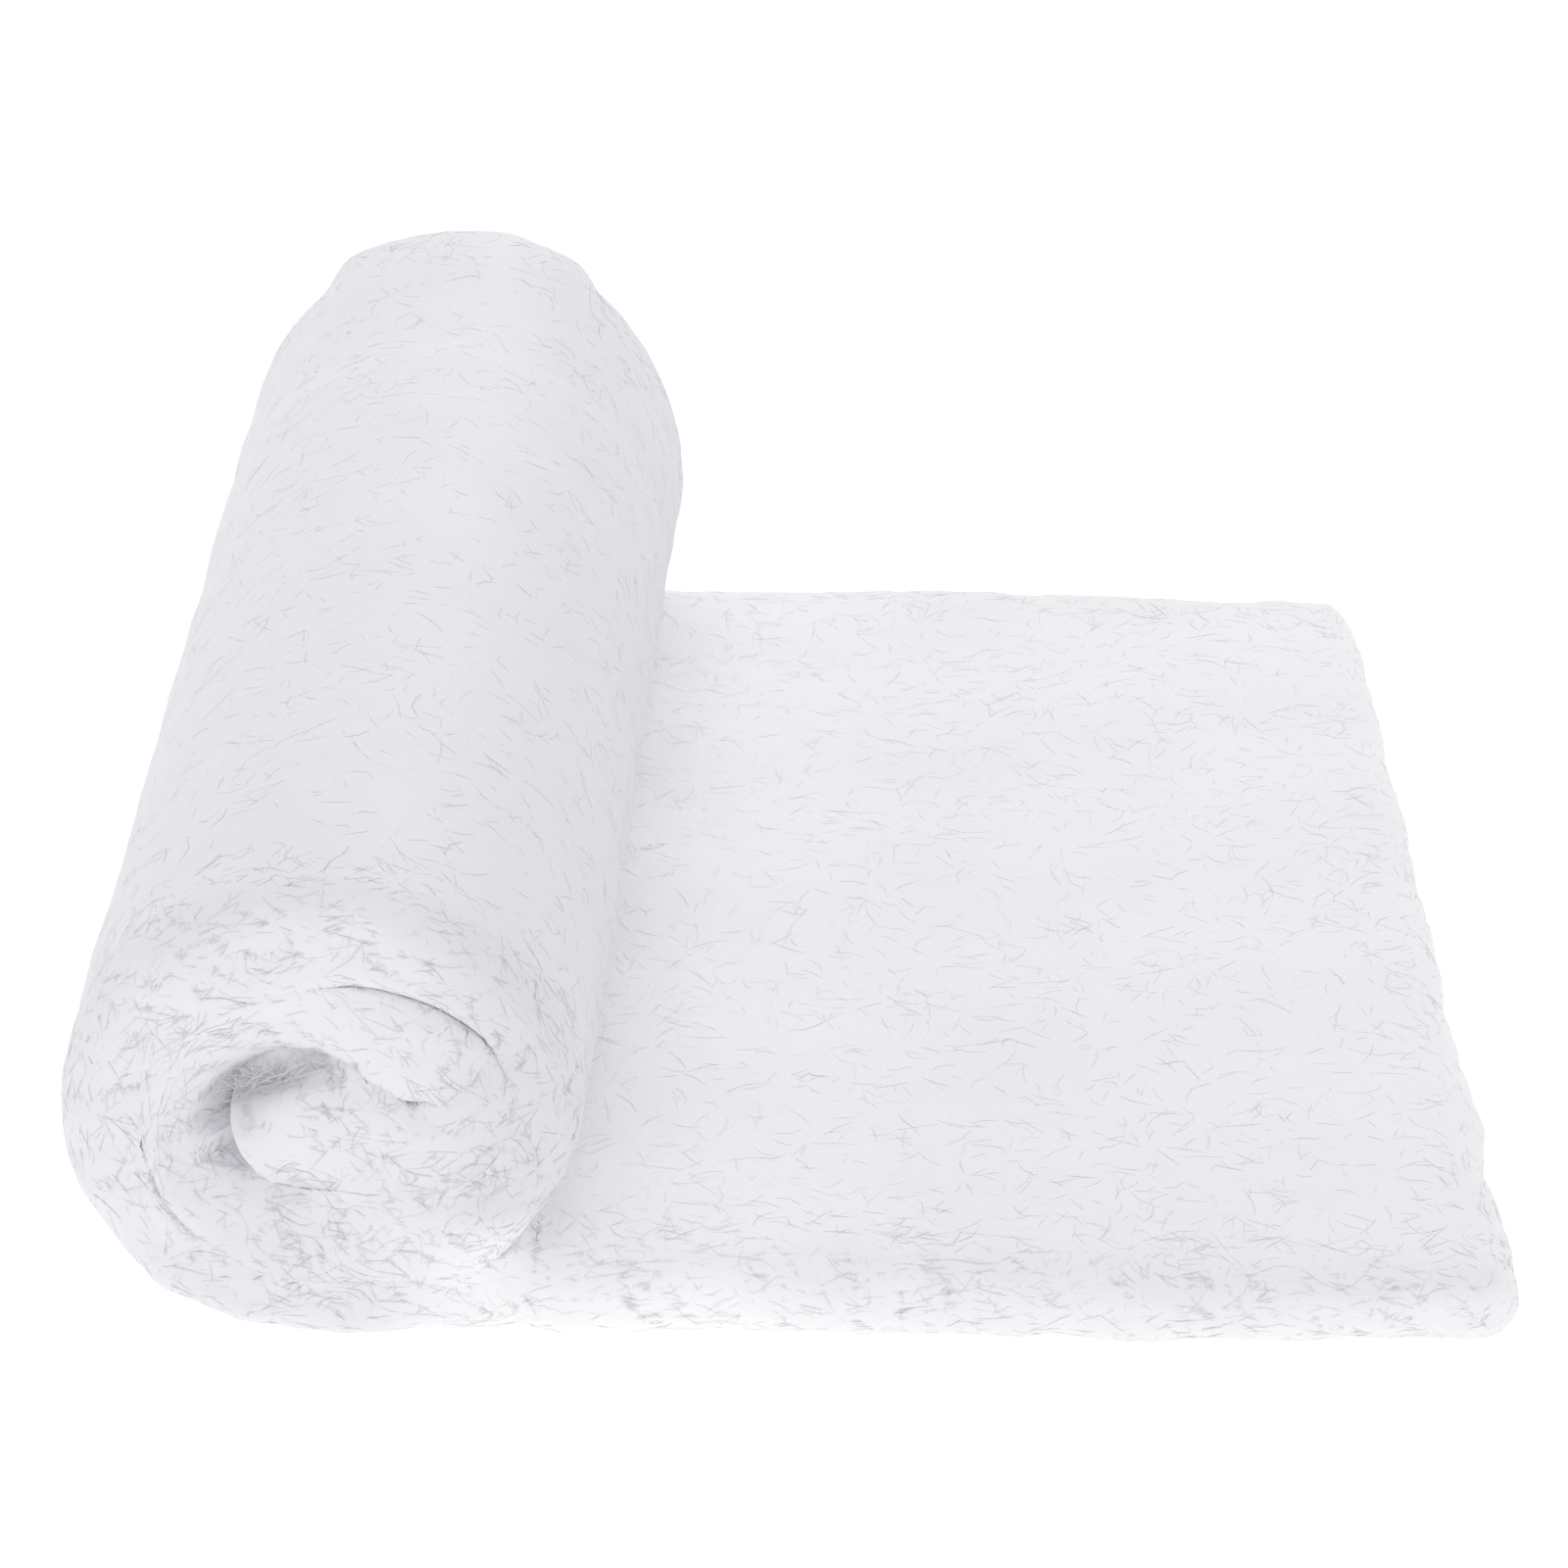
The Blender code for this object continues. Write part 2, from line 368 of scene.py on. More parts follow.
def wedge_rise(x, flap_thickness):
    """Rise of the flap's top that fills the narrow part of the wedge under the roll."""
    _, _, (right_x, right_z, _), (run_x, run_z, _) = stations(0.0)[1:5]
    reach = np.clip((x - run_x) / (right_x - run_x), 0, 1)
    roll_bottom = run_z + (right_z - run_z) * (1 - np.sqrt(1 - reach ** 2))
    gap = roll_bottom - flap_thickness - SEAM_GAP
    return gap * (1 - smooth(gap, WEDGE_CLOSED, WEDGE_OPEN))


def layered_noise(points, size, seed):
    """Noise from -1 to 1 at each point, with lumps of about the given size."""
    shift = Vector((seed * 17.3, seed * 5.1, seed * 9.7))
    return np.array([noise.noise(Vector(point) / size + shift) for point in points])


def flat_sheet():
    """Fine flat sheet with rounded rims: x from the free end, y across, z its height."""
    columns = round(SHEET_LENGTH / ALONG_STEP)
    rows = round(SHEET_WIDTH / ACROSS_STEP)
    sheet = bmesh.new()
    bmesh.ops.create_grid(sheet, x_segments=columns, y_segments=rows, size=0.5)
    first_column = EDGE_ROUNDING + ALONG_STEP
    first_row = EDGE_ROUNDING + ACROSS_STEP
    inset_columns = np.linspace(first_column, SHEET_LENGTH - first_column, columns - 1)
    inset_rows = np.linspace(first_row, SHEET_WIDTH - first_row, rows - 1)
    along = np.concatenate([[0.0], inset_columns, [SHEET_LENGTH]])
    across = np.concatenate([[0.0], inset_rows, [SHEET_WIDTH]]) - SHEET_WIDTH / 2
    for vertex in sheet.verts:
        column = round((vertex.co.x + 0.5) * columns)
        row = round((vertex.co.y + 0.5) * rows)
        vertex.co.x = along[column]
        vertex.co.y = across[row]
    bmesh.ops.solidify(sheet, geom=sheet.faces[:], thickness=SHEET_THICKNESS)
    lowest = min(vertex.co.z for vertex in sheet.verts)
    for vertex in sheet.verts:
        vertex.co.z -= lowest
    bmesh.ops.recalc_face_normals(sheet, faces=sheet.faces[:])
    rim = [edge for edge in sheet.edges if edge.calc_face_angle(0.0) > RIM_ANGLE]
    bmesh.ops.bevel(sheet, geom=rim, offset=EDGE_ROUNDING, offset_type="OFFSET",
                    segments=ROUNDING_SEGMENTS, profile=0.5, affect="EDGES",
                    clamp_overlap=True)
    return sheet


def rounding_kept(quarters, share, from_roll, in_roll, front):
    """How round a cut edge stays: flatter where turns touch, and fuller where it is free."""
    seam = SEAM_KEEP + (OPEN_SEAM_KEEP - SEAM_KEEP) * upper_right(quarters)
    inner_side = smooth(share, 0.35, 0.65)
    outer_wrap = 1 - smooth(quarters, 3.35, 3.75)
    outside = outer_wrap + (1 - outer_wrap) * seam
    hollow = smooth(quarters, 5.0, 5.8)
    crease = window(quarters, 7.2, 9.22, 0.1)
    free = HOLLOW_KEEP + (CREASE_KEEP - HOLLOW_KEEP) * crease
    inside = seam + (free - seam) * hollow
    kept = outside * (1 - inner_side) + inside * inner_side
    pressed = inner_side * (1 - smooth(from_roll, 0.045, 0.085))
    kept = np.where(in_roll, kept, 1 - (1 - UNDER_KEEP) * pressed)
    return np.where(front, kept, np.maximum(kept, BACK_KEEP))


def wind(flat):
    """Places flat points (along, across, height) on the flap or in the puffed roll."""
    along, across, height = flat.T
    share = height / SHEET_THICKNESS
    wound = along - FLAP_LENGTH
    in_roll = wound > 0
    wound_end = SHEET_LENGTH - FLAP_LENGTH
    deep = smooth(across - FRONT_Y, *HOLLOW_DEPTH) * (across < 0.1)
    stretch = CORE_STRETCH * (across < 0.1) + DEEP_STRETCH * deep
    wound = wound + stretch * smooth(wound, wound_end - 0.055, wound_end)
    values = wound_values(np.maximum(wound, 0.0), across)
    quarters = values[:, 5]
    looseness = across / SHEET_WIDTH + 0.5

    # Cut edges
    pulled = SHEET_WIDTH / 2 - np.abs(across)
    keep = rounding_kept(quarters, share, -wound, in_roll, across < 0)
    inside = smooth(pulled, EDGE_ROUNDING, EDGE_ROUNDING + 0.030)
    moved = np.where(pulled < EDGE_ROUNDING, pulled * (1 - keep),
                     EDGE_ROUNDING * (1 - keep) * (1 - inside))
    near_front = 1 - smooth(across - FRONT_Y, 0.0, END_DEPTH)
    recess = LEFT_RECESS * window(quarters, 5.3, 6.6, 0.5) * smooth(share, 0.0, 0.8)
    recess = recess - CORE_PROUD * smooth(quarters, 9.3, 9.5)
    new_across = np.sign(across) * (SHEET_WIDTH / 2 - (pulled - moved)) + recess * near_front

    # Thickness: the turns touch, apart from a thin seam that comes and goes
    puff = DEEP_PUFF * deep * (window(quarters, 9.1, 10.5, 0.3) + 0.5 * window(quarters, 5.6, 6.9, 0.3))
    clear = smooth(-wound, BOTTOM_RUN, RIGHT_SIDE)
    flap_thickness = UNDER_ROLL_THICKNESS + (SHEET_THICKNESS - UNDER_ROLL_THICKNESS) * clear
    fade = np.clip(-wound / WAVE_FADE_LENGTH, 0, 1)
    drift = WAVE_DRIFT * np.sin(2 * math.pi * -wound / SHEET_WIDTH)
    wave = WAVE_HEIGHT * fade * np.sin(2 * math.pi * (across + drift) / WAVE_SPACING)
    under = wedge_rise(-wound, flap_thickness)
    thickness = np.where(in_roll, values[:, 4] + puff, flap_thickness + wave + under)

    # The back of the outer turn swells
    from_back = SHEET_WIDTH / 2 - across
    crest = 1 - smooth(np.abs(values[:, 0] - CREST_X), BACK_CREST_HALF_WIDTH - 0.012,
                       BACK_CREST_HALF_WIDTH + 0.006)
    crest = crest * window(quarters, 1.4, 2.7, 0.2) * (1 - smooth(from_back, 0.010, 0.075))
    outward = BACK_CREST_PUFF * crest
    ring = np.exp(-((from_back - BACK_RING_FROM_END) / BACK_RING_WIDTH) ** 2)
    outward = outward - BACK_RING_DEPTH * ring * window(quarters, 1.0, 3.0, 0.3)
    tip = TIP_LIFT * smooth(quarters, 9.36, 9.56) * (across < 0.1)
    depth = share * thickness - np.where(in_roll, outward - (1 - share) * tip, 0.0)
    x = np.where(in_roll, values[:, 0] + values[:, 2] * depth, -wound)
    z = np.where(in_roll, values[:, 1] + values[:, 3] * depth, depth)
    return np.stack([x - ORIGIN_SHIFT, new_across, z], axis=1)


def between_turns(flat):
    """1 on faces that the next turn covers, and on the cut edge beside them."""
    along, across, height = flat.T
    wound = along - FLAP_LENGTH
    quarters = wound_values(np.maximum(wound, 0.0), across)[:, 5]
    inner_side = smooth(height / SHEET_THICKNESS, 0.15, 0.45)
    rolled = np.maximum(inner_side, smooth(quarters, 3.55, 3.9))
    pressed = inner_side * (1 - smooth(-wound, 0.040, 0.065))
    return np.where(wound > 0, rolled, pressed)


def roughen(places, normals, flat):
    """Soft lumps all over, and tufts on the cut edges. Between turns they only go outward."""
    along, across, height = flat.T
    covered = between_turns(flat)[:, None]
    outward = np.stack([0 * across, np.sign(across), 0 * across], axis=1)
    from_end = SHEET_WIDTH / 2 - np.abs(across)
    outward = outward * (1 - smooth(from_end, 0.010, 0.030))[:, None]
    normals = normals * (1 - covered) + outward * covered
    from_edge = np.minimum(SHEET_WIDTH / 2 - np.abs(across), np.minimum(along, SHEET_LENGTH - along))
    rim = 1 - smooth(from_edge, 0.004, EDGE_ROUNDING)
    on_floor = (height < 0.0005) & (along < FLAP_LENGTH + 0.03)
    lumps = BROAD_LUMP[0] * layered_noise(places, BROAD_LUMP[1], 1)
    lumps += MIDDLE_LUMP[0] * layered_noise(places, MIDDLE_LUMP[1], 2)
    lumps += FINE_LUMP[0] * layered_noise(places, FINE_LUMP[1], 3)
    edges = EDGE_LUMP[0] * layered_noise(places, EDGE_LUMP[1], 4)
    edges += EDGE_TUFT[0] * layered_noise(places, EDGE_TUFT[1], 5)
    edges += EDGE_SCALLOP[0] * layered_noise(places, EDGE_SCALLOP[1], 6)
    height_change = lumps * np.where(on_floor, 0.0, 1.0) + edges * rim
    moved = places + normals * height_change[:, None]
    moved[:, 2] = np.maximum(moved[:, 2], 0.0)
    return moved


def vertex_normals(mesh):
    normals = np.zeros(len(mesh.vertices) * 3, np.float32)
    mesh.vertices.foreach_get("normal", normals)
    return normals.reshape(-1, 3).astype(float)


def vertex_places(mesh):
    places = np.zeros(len(mesh.vertices) * 3, np.float32)
    mesh.vertices.foreach_get("co", places)
    return places.reshape(-1, 3).astype(float)


def sheet_body(material):
    """The wadding itself, as one closed mesh, with its flat coordinates."""
    sheet = flat_sheet()
    flat = np.array([vertex.co[:] for vertex in sheet.verts])
    for vertex, place in zip(sheet.verts, wind(flat)):
        vertex.co = place
    bmesh.ops.recalc_face_normals(sheet, faces=sheet.faces[:])
    if sheet.calc_volume(signed=True) < 0:
        bmesh.ops.reverse_faces(sheet, faces=sheet.faces[:])
    mesh = bpy.data.meshes.new("wadding_body")
    sheet.to_mesh(mesh)
    sheet.free()
    mesh.update()
    moved = roughen(vertex_places(mesh), vertex_normals(mesh), flat)
    mesh.vertices.foreach_set("co", moved.astype(np.float32).ravel())
    mesh.update()
    mesh.shade_smooth()
    mesh.set_sharp_from_angle(angle=CORNER_ANGLE)
    mesh.materials.append(material)
    body = bpy.data.objects.new("wadding_body", mesh)
    bpy.context.scene.collection.objects.link(body)
    return body, flat


def zone_faces(body, flat):
    """Face centres, normals, areas and flat coordinates, for choosing fibre roots."""
    mesh = body.data
    centres = np.array([face.center[:] for face in mesh.polygons])
    normals = np.array([face.normal[:] for face in mesh.polygons])
    areas = np.array([face.area for face in mesh.polygons])
    flats = np.array([flat[list(face.vertices)].mean(axis=0) for face in mesh.polygons])
    return centres, normals, areas, flats


def grow_fibres(name, tree, roots, normals, headings, lengths, widths, lifts, material, rng):
    """One joined mesh of thin curled fibres, each a three-sided closed spindle."""
    count = len(roots)
    bends = rng.normal(0.0, 1.1, count)
    bend_changes = rng.normal(0.0, 0.9, count)
    lines = np.zeros((count, FIBRE_POINTS, 3))
    line_normals = np.zeros((count, FIBRE_POINTS, 3))
    profile = np.sin(np.linspace(0.0, math.pi, FIBRE_POINTS))
    place = roots.copy()
    heading = headings.copy()
    normal = normals.copy()
    steps = lengths / (FIBRE_POINTS - 1)
    for point in range(FIBRE_POINTS):
        surface = np.empty_like(place)
        for index in range(count):
            found, found_normal, _, _ = tree.find_nearest(place[index])
            surface[index] = found
            normal[index] = found_normal
        lift = lifts[:, point] if lifts.ndim == 2 else lifts * profile[point] - 0.0002
        lines[:, point] = surface + normal * lift[:, None]
        line_normals[:, point] = normal
        turn = (bends + bend_changes * (point - 1)) / (FIBRE_POINTS - 1)
        side = np.cross(normal, heading)
        heading = heading * np.cos(turn)[:, None] + side * np.sin(turn)[:, None]
        heading -= normal * np.einsum("ij,ij->i", heading, normal)[:, None]
        heading /= np.maximum(np.linalg.norm(heading, axis=1), 1e-9)[:, None]
        place = surface + heading * steps[:, None]
    return fibre_mesh(name, lines, line_normals, widths, material)


def fibre_mesh(name, lines, line_normals, widths, material):
    """Three-sided spindles along the lines, pointed at both ends."""
    count, points, _ = lines.shape
    rings = points - 2
    tangent = np.gradient(lines, axis=1)
    tangent /= np.maximum(np.linalg.norm(tangent, axis=2), 1e-9)[:, :, None]
    side = np.cross(tangent, line_normals)
    side /= np.maximum(np.linalg.norm(side, axis=2), 1e-9)[:, :, None]
    up = np.cross(side, tangent)
    per_fibre = 2 + 3 * rings
    vertices = np.zeros((count, per_fibre, 3))
    shading = np.zeros((count, per_fibre, 3))
    shading[:, 0] = line_normals[:, 0]
    shading[:, -1] = line_normals[:, -1]
    vertices[:, 0] = lines[:, 0]
    vertices[:, -1] = lines[:, -1]
    shape = np.sin(np.linspace(0.0, math.pi, points))[1:-1] ** 0.5
    for ring in range(rings):
        radius = widths[:, None] / 2 * shape[ring]
        for corner in range(3):
            angle = 2 * math.pi * corner / 3 + math.pi / 2
            rise = FIBRE_FLATNESS * math.sin(angle)
            offset = side[:, ring + 1] * math.cos(angle) + up[:, ring + 1] * rise
            vertices[:, 1 + 3 * ring + corner] = lines[:, ring + 1] + offset * radius
            shading[:, 1 + 3 * ring + corner] = line_normals[:, ring + 1]
    faces = []
    for corner in range(3):
        other = (corner + 1) % 3
        faces.append((0, 1 + corner, 1 + other))
        last = 1 + 3 * (rings - 1)
        faces.append((per_fibre - 1, last + other, last + corner))
        for ring in range(rings - 1):
            low = 1 + 3 * ring
            high = low + 3
            faces.append((low + corner, high + other, low + other))
            faces.append((low + corner, high + corner, high + other))
    faces = np.array(faces)
    starts = (np.arange(count) * per_fibre)[:, None, None]
    triangles = (faces[None] + starts).reshape(-1, 3)
    mesh = bpy.data.meshes.new(name)
    mesh.vertices.add(count * per_fibre)
    mesh.vertices.foreach_set("co", vertices.astype(np.float32).ravel())
    mesh.loops.add(len(triangles) * 3)
    mesh.loops.foreach_set("vertex_index", triangles.astype(np.int32).ravel())
    mesh.polygons.add(len(triangles))
    mesh.polygons.foreach_set("loop_start", np.arange(0, len(triangles) * 3, 3, dtype=np.int32))
    mesh.update(calc_edges=True)
    mesh.shade_smooth()
    mesh.normals_split_custom_set_from_vertices(shading.reshape(-1, 3).tolist())
    mesh.materials.append(material)
    piece = bpy.data.objects.new(name, mesh)
    bpy.context.scene.collection.objects.link(piece)
    return piece


def fibres_on(name, body_faces, tree, weight, count, preferred, spread, sizes, lift, material, seed):
    """Fibres rooted on the faces that weight picks, headed about one direction."""
    rng = np.random.default_rng(seed)
    centres, normals, areas, flats = body_faces
    chances = areas * weight(flats, normals)
    chances = chances / chances.sum()
    chosen = rng.choice(len(centres), size=count, p=chances)
    roots = centres[chosen] + rng.normal(0.0, 0.0018, (count, 3))
    normal = normals[chosen]
    aim = preferred(centres[chosen], normal, flats[chosen])
    aim = aim - normal * np.einsum("ij,ij->i", aim, normal)[:, None]
    weak = np.linalg.norm(aim, axis=1) < 1e-3
    aim[weak] = np.cross(normal[weak], rng.normal(0.0, 1.0, (int(weak.sum()), 3)))
    aim /= np.linalg.norm(aim, axis=1)[:, None]
    turn = rng.normal(0.0, spread, count)
    side = np.cross(normal, aim)
    headings = aim * np.cos(turn)[:, None] + side * np.sin(turn)[:, None]
    headings *= rng.choice([-1.0, 1.0], count)[:, None]
    low, high, thin, thick = sizes
    lengths = rng.uniform(low, high, count)
    widths = thin + (thick - thin) * rng.uniform(0.0, 1.0, count) ** 3
    lifts = lift * rng.uniform(0.3, 1.0, count) ** 2
    return grow_fibres(name, tree, roots, normal, headings, lengths, widths, lifts, material, rng)


def strands_across_hollow(material, seed):
    """Loose strands at the front end, from the inner turn's left wall to the core's end."""
    rng = np.random.default_rng(seed)
    distances = np.arange(WINDING.shape[1]) * TABLE_STEP
    ends = []
    for low, high in ((5.9, 7.1), (9.30, 9.56)):
        marks = rng.uniform(low, high, HOLLOW_STRANDS)
        along = FLAP_LENGTH + np.interp(marks, WINDING[0, :, 5], distances)
        deep = FRONT_Y + rng.uniform(0.002, 0.009, HOLLOW_STRANDS)
        ends.append(wind(np.stack([along, deep, np.full(HOLLOW_STRANDS, SHEET_THICKNESS)], axis=1)))
    share = np.linspace(0.0, 1.0, FIBRE_POINTS)[None, :, None]
    lines = ends[0][:, None] * (1 - share) + ends[1][:, None] * share
    sway = rng.normal(0.0, 0.0022, (HOLLOW_STRANDS, 1, 3))
    lines = lines + sway * np.sin(math.pi * share) + rng.normal(0.0, 0.0004, lines.shape)
    facing = np.tile([0.0, -0.6, 0.8], (HOLLOW_STRANDS, FIBRE_POINTS, 1))
    widths = rng.uniform(0.00015, 0.00040, HOLLOW_STRANDS)
    return fibre_mesh("hollow_strands", lines, facing, widths, material)


def along_sheet(centres, normals, flats):
    """Direction of the winding: square to the normal and to the roll's axis."""
    return np.cross(normals, np.tile([0.0, 1.0, 0.0], (len(normals), 1)))


def along_winding_at_edge(centres, normals, flats):
    """Direction of the winding as seen on a cut edge."""
    ahead = flats.copy()
    ahead[:, 0] = ahead[:, 0] + 0.004
    behind = flats.copy()
    behind[:, 0] = behind[:, 0] - 0.004
    return wind(ahead) - wind(behind)


def flap_weight(flats, normals):
    return ((flats[:, 0] < FLAP_LENGTH + 0.01) & (flats[:, 2] > 0.015)).astype(float)


def roll_weight(flats, normals):
    wound = flats[:, 0] - FLAP_LENGTH
    outer = (wound > 0.0) & (wound < OUTER_TURN_LENGTH) & (flats[:, 2] < 0.015)
    return outer.astype(float)


def edge_weight(flats, normals, side):
    """Cut edge at the front (-1) or back (1), and a little way in between the turns."""
    depth = SHEET_WIDTH / 2 - side * flats[:, 1]
    at_edge = 1 - smooth(depth, EDGE_ROUNDING, EDGE_ROUNDING + 0.02)
    return at_edge


def front_weight(flats, normals):
    return edge_weight(flats, normals, -1.0)


def back_weight(flats, normals):
    free_end = (flats[:, 0] < EDGE_ROUNDING).astype(float)
    return np.maximum(edge_weight(flats, normals, 1.0), free_end)


def colour_along(nodes, links, place_x, marks):
    """Colour ramp along x through the given places."""
    ramp = nodes.new("ShaderNodeValToRGB")
    ramp.color_ramp.interpolation = "EASE"
    for _ in marks[2:]:
        ramp.color_ramp.elements.new(0.5)
    for element, (place, colour) in zip(ramp.color_ramp.elements, marks):
        element.position = 0.5 + place - ORIGIN_SHIFT
        element.color = colour + (1.0,)
    links.new(place_x, ramp.inputs["Fac"])
    return ramp.outputs["Color"]


def colour_with_painted_light(nodes, links, coordinates):
    """Base colour by place, with painted light and shade: the thin flap is painted lighter than the
    roll, standing in for the white table's light through it; the roll's right side is painted darker;
    the flap beside the roll is painted lighter against the shade there.
    """
    split = nodes.new("ShaderNodeSeparateXYZ")
    links.new(coordinates.outputs["Object"], split.inputs["Vector"])
    shifted = nodes.new("ShaderNodeMath")
    shifted.operation = "ADD"
    shifted.inputs[1].default_value = 0.5
    links.new(split.outputs["X"], shifted.inputs[0])
    height = nodes.new("ShaderNodeMapRange")
    height.interpolation_type = "SMOOTHSTEP"
    height.inputs["From Min"].default_value = ROLL_HEIGHT[0]
    height.inputs["From Max"].default_value = ROLL_HEIGHT[1]
    links.new(split.outputs["Z"], height.inputs["Value"])
    mixed = nodes.new("ShaderNodeMix")
    mixed.data_type = "RGBA"
    factor, first, second = mixed.inputs[0], mixed.inputs[6], mixed.inputs[7]
    links.new(height.outputs["Result"], factor)
    links.new(colour_along(nodes, links, shifted.outputs["Value"], FLAP_MARKS), first)
    links.new(colour_along(nodes, links, shifted.outputs["Value"], ROLL_MARKS), second)
    return mixed.outputs[2]


def wadding_material(name, brightness, roughness, specular):
    """Matt white polyester fibre: soft clouds in its colour, painted light and shade by place, and fine
    crossing strands.
    """
    material = bpy.data.materials.new(name)
    material.use_nodes = True
    nodes = material.node_tree.nodes
    links = material.node_tree.links
    shader = nodes["Principled BSDF"]
    shader.inputs["Roughness"].default_value = roughness
    shader.inputs["Specular IOR Level"].default_value = specular
    shader.inputs["Sheen Weight"].default_value = SHEEN
    shader.inputs["Sheen Roughness"].default_value = 0.6
    coordinates = nodes.new("ShaderNodeTexCoord")
    strands = strand_height(nodes, links, coordinates)
    clouds = nodes.new("ShaderNodeTexNoise")
    clouds.inputs["Scale"].default_value = CLOUD_SCALE
    clouds.inputs["Detail"].default_value = 2.5
    links.new(coordinates.outputs["Object"], clouds.inputs["Vector"])
    tones = nodes.new("ShaderNodeMath")
    tones.operation = "MULTIPLY_ADD"
    tones.inputs[1].default_value = STRAND_TONE
    links.new(strands, tones.inputs[0])
    links.new(clouds.outputs["Fac"], tones.inputs[2])
    spread = nodes.new("ShaderNodeMapRange")
    spread.inputs["To Min"].default_value = brightness * (1 - TONE_SPREAD)
    spread.inputs["To Max"].default_value = brightness * (1 + TONE_SPREAD)
    links.new(tones.outputs["Value"], spread.inputs["Value"])
    tinted = nodes.new("ShaderNodeVectorMath")
    tinted.operation = "SCALE"
    links.new(colour_with_painted_light(nodes, links, coordinates), tinted.inputs[0])
    links.new(spread.outputs["Result"], tinted.inputs["Scale"])
    links.new(tinted.outputs["Vector"], shader.inputs["Base Color"])
    grain = nodes.new("ShaderNodeTexNoise")
    grain.inputs["Scale"].default_value = GRAIN_SCALE
    grain.inputs["Detail"].default_value = 2.0
    links.new(coordinates.outputs["Object"], grain.inputs["Vector"])
    strand_bump = nodes.new("ShaderNodeBump")
    strand_bump.inputs["Strength"].default_value = STRAND_BUMP
    strand_bump.inputs["Distance"].default_value = 0.0006
    links.new(strands, strand_bump.inputs["Height"])
    grain_bump = nodes.new("ShaderNodeBump")
    grain_bump.inputs["Strength"].default_value = GRAIN_BUMP
    grain_bump.inputs["Distance"].default_value = 0.0004
    links.new(grain.outputs["Fac"], grain_bump.inputs["Height"])
    links.new(strand_bump.outputs["Normal"], grain_bump.inputs["Normal"])
    links.new(grain_bump.outputs["Normal"], shader.inputs["Normal"])
    return material


def strand_height(nodes, links, coordinates):
    """Stretched noises that cross each other, as fine strands do."""
    total = None
    for turn, stretch, scale in ((0.35, 11.0, 90.0), (-0.6, 12.0, 100.0), (1.3, 10.0, 80.0)):
        mapping = nodes.new("ShaderNodeMapping")
        mapping.inputs["Rotation"].default_value = (0.3 * turn, 0.5 * turn, turn)
        mapping.inputs["Scale"].default_value = (scale, scale * stretch, scale * 5)
        texture = nodes.new("ShaderNodeTexNoise")
        texture.inputs["Scale"].default_value = 1.0
        texture.inputs["Detail"].default_value = 3.0
        texture.inputs["Distortion"].default_value = 1.2
        links.new(coordinates.outputs["Object"], mapping.inputs["Vector"])
        links.new(mapping.outputs["Vector"], texture.inputs["Vector"])
        if total is None:
            total = texture.outputs["Fac"]
            continue
        joined = nodes.new("ShaderNodeMath")
        joined.operation = "ADD"
        links.new(total, joined.inputs[0])
        links.new(texture.outputs["Fac"], joined.inputs[1])
        total = joined.outputs["Value"]
    centred = nodes.new("ShaderNodeMath")
    centred.operation = "SUBTRACT"
    centred.inputs[1].default_value = 1.5
    links.new(total, centred.inputs[0])
    return centred.outputs["Value"]


def floor_material(colour, glow):
    """Matt white table, lit a little from within as a light table is."""
    material = bpy.data.materials.new("floor_white")
    material.use_nodes = True
    shader = material.node_tree.nodes["Principled BSDF"]
    shader.inputs["Base Color"].default_value = colour
    shader.inputs["Roughness"].default_value = 1.0
    shader.inputs["Specular IOR Level"].default_value = 0.0
    shader.inputs["Emission Color"].default_value = (1.0, 1.0, 1.0, 1.0)
    shader.inputs["Emission Strength"].default_value = glow
    material.cycles.emission_sampling = "NONE"
    return material


def add_floor():
    bpy.ops.mesh.primitive_plane_add(size=16.0, location=(0.0, 0.0, -0.0003))
    floor = bpy.context.object
    floor.name = "floor"
    floor.data.materials.append(floor_material(FLOOR_COLOUR, FLOOR_GLOW))


def area_light(name, place, target, size, power, colour):
    lamp = bpy.data.lights.new(name, "AREA")
    lamp.shape = "SQUARE"
    lamp.size = size
    lamp.energy = power
    lamp.color = colour
    holder = bpy.data.objects.new(name, lamp)
    bpy.context.scene.collection.objects.link(holder)
    holder.location = place
    holder.rotation_euler = (Vector(target) - Vector(place)).to_track_quat("-Z", "Y").to_euler()


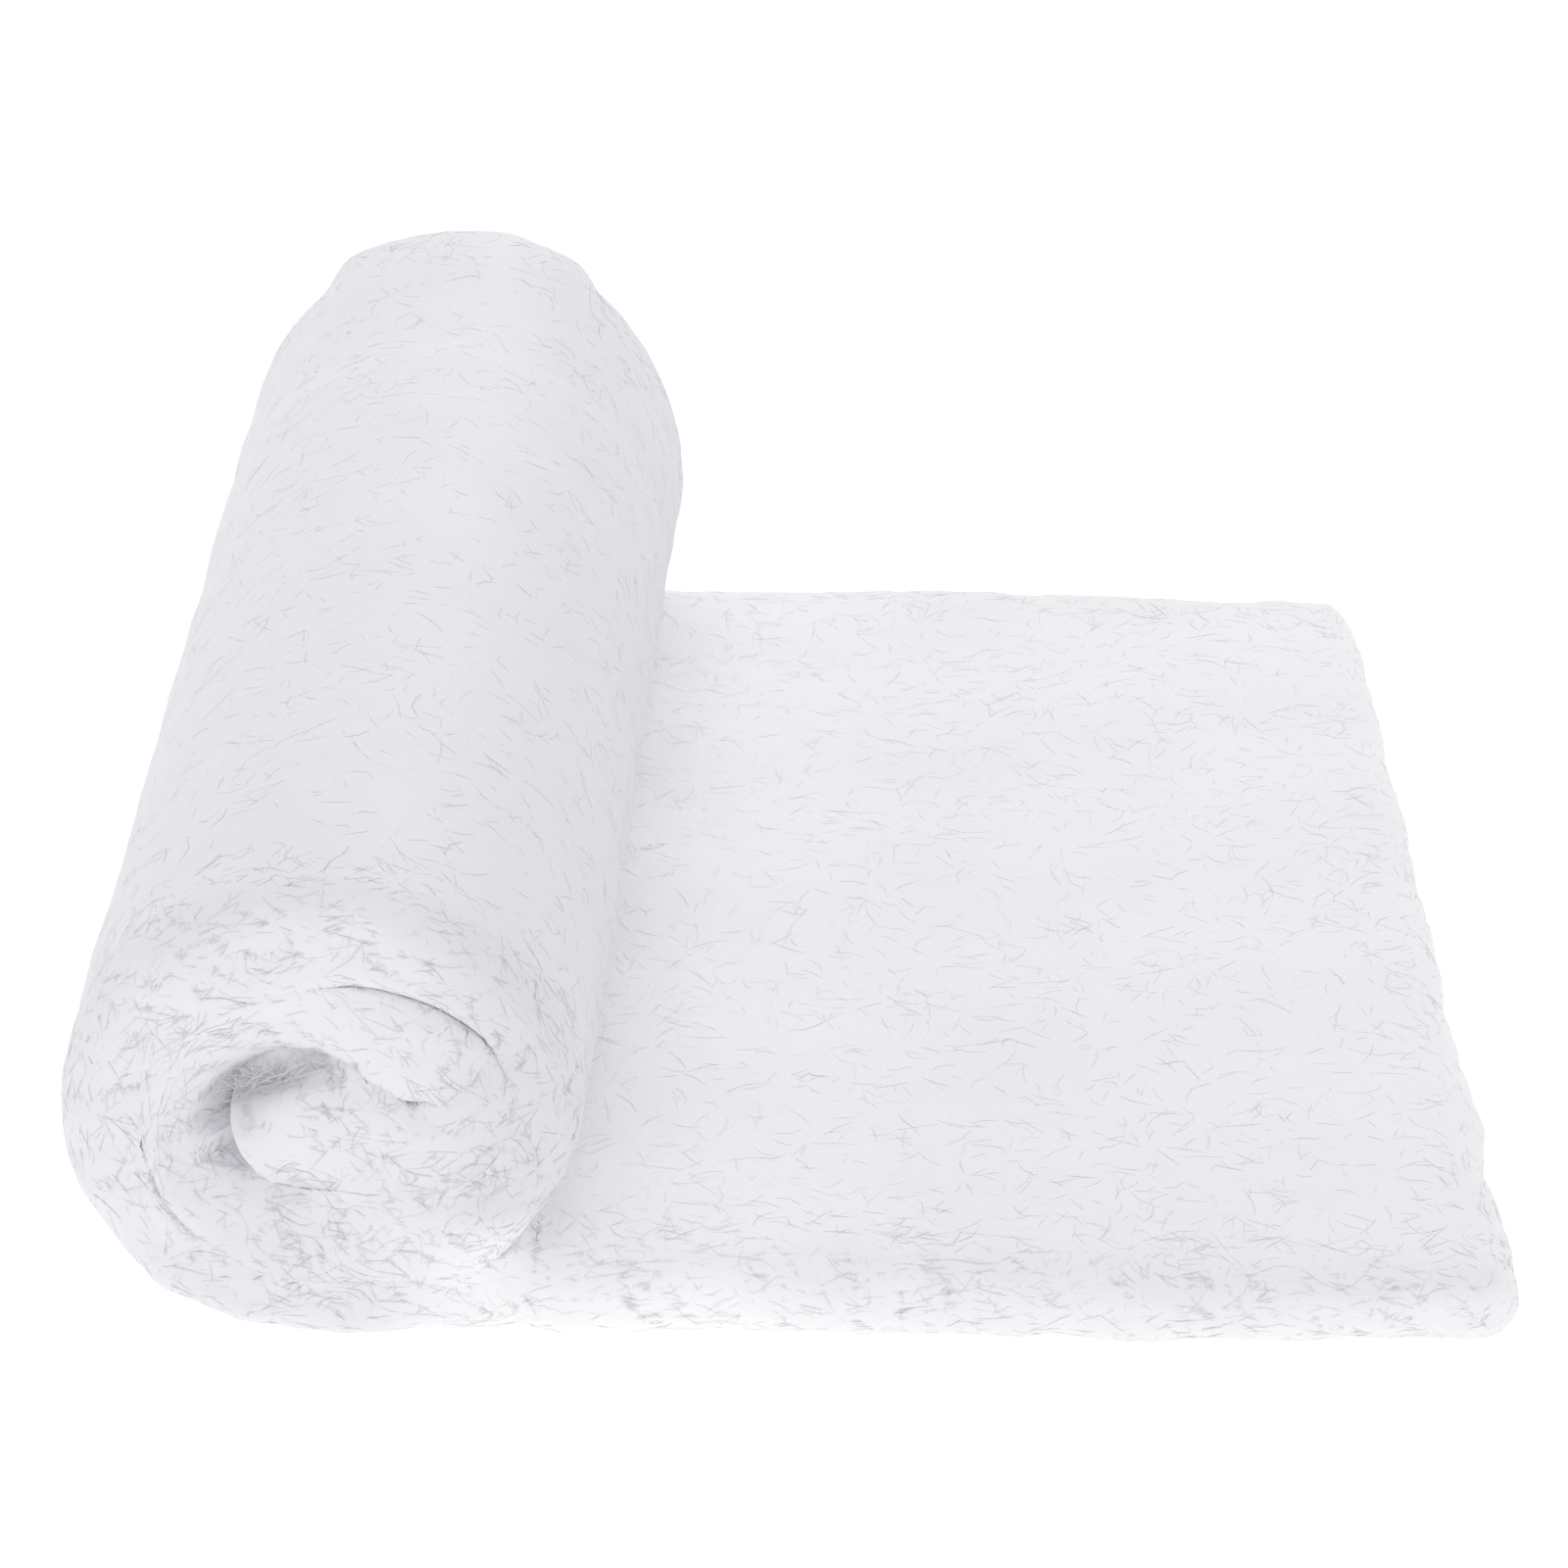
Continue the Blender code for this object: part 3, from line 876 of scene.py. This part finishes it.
def add_lights():
    world = bpy.data.worlds.new("studio")
    bpy.context.scene.world = world
    world.use_nodes = True
    background = world.node_tree.nodes["Background"]
    background.inputs["Color"].default_value = (0.985, 0.99, 1.0, 1.0)
    background.inputs["Strength"].default_value = SKY_STRENGTH
    area_light("key", KEY_PLACE, (0.0, 0.0, 0.05), KEY_SIZE, KEY_POWER, (1.0, 1.0, 1.0))
    scene = bpy.context.scene
    scene.view_settings.view_transform = "Standard"
    scene.view_settings.look = "None"


def add_camera():
    lens = bpy.data.cameras.new("camera")
    lens.sensor_width = SENSOR_WIDTH
    lens.lens = FOCAL_PIXELS / IMAGE_WIDTH * SENSOR_WIDTH
    camera = bpy.data.objects.new("camera", lens)
    bpy.context.scene.collection.objects.link(camera)
    camera.location = (CAMERA_X - ORIGIN_SHIFT, FRONT_Y - CAMERA_DISTANCE, CAMERA_HEIGHT)
    camera.rotation_euler = (math.radians(90 - CAMERA_TILT), 0.0, math.radians(CAMERA_YAW))
    bpy.context.scene.camera = camera


def ride_root(piece):
    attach(piece, "root")


add_camera()
add_floor()
add_lights()
body_material = wadding_material("wadding", 1.0, 0.9, 0.15)
fibre_material = wadding_material("wadding_fibre", FIBRE_BRIGHTNESS, 0.7, 0.2)
body, flat_places = sheet_body(body_material)
ride_root(body)
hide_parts("wadding_sheet")

faces = zone_faces(body, flat_places)
tree = BVHTree.FromPolygons([vertex.co[:] for vertex in body.data.vertices],
                            [list(face.vertices) for face in body.data.polygons])
fine = (0.010, 0.026, 0.00012, 0.00024)
bold = (0.010, 0.028, 0.00012, 0.00034)
ride_root(fibres_on("flap_fibres", faces, tree, flap_weight, FLAP_FIBRES, along_sheet, 1.2,
                    fine, 0.0004, fibre_material, 11))
ride_root(fibres_on("roll_fibres", faces, tree, roll_weight, ROLL_FIBRES, along_sheet, 0.6,
                    fine, 0.0004, fibre_material, 12))
ride_root(fibres_on("front_fibres", faces, tree, front_weight, FRONT_FIBRES,
                    along_winding_at_edge, 0.5, bold, 0.0004, fibre_material, 13))
ride_root(fibres_on("back_fibres", faces, tree, back_weight, BACK_FIBRES,
                    along_winding_at_edge, 0.5, bold, 0.0004, fibre_material, 14))

ride_root(strands_across_hollow(fibre_material, 15))
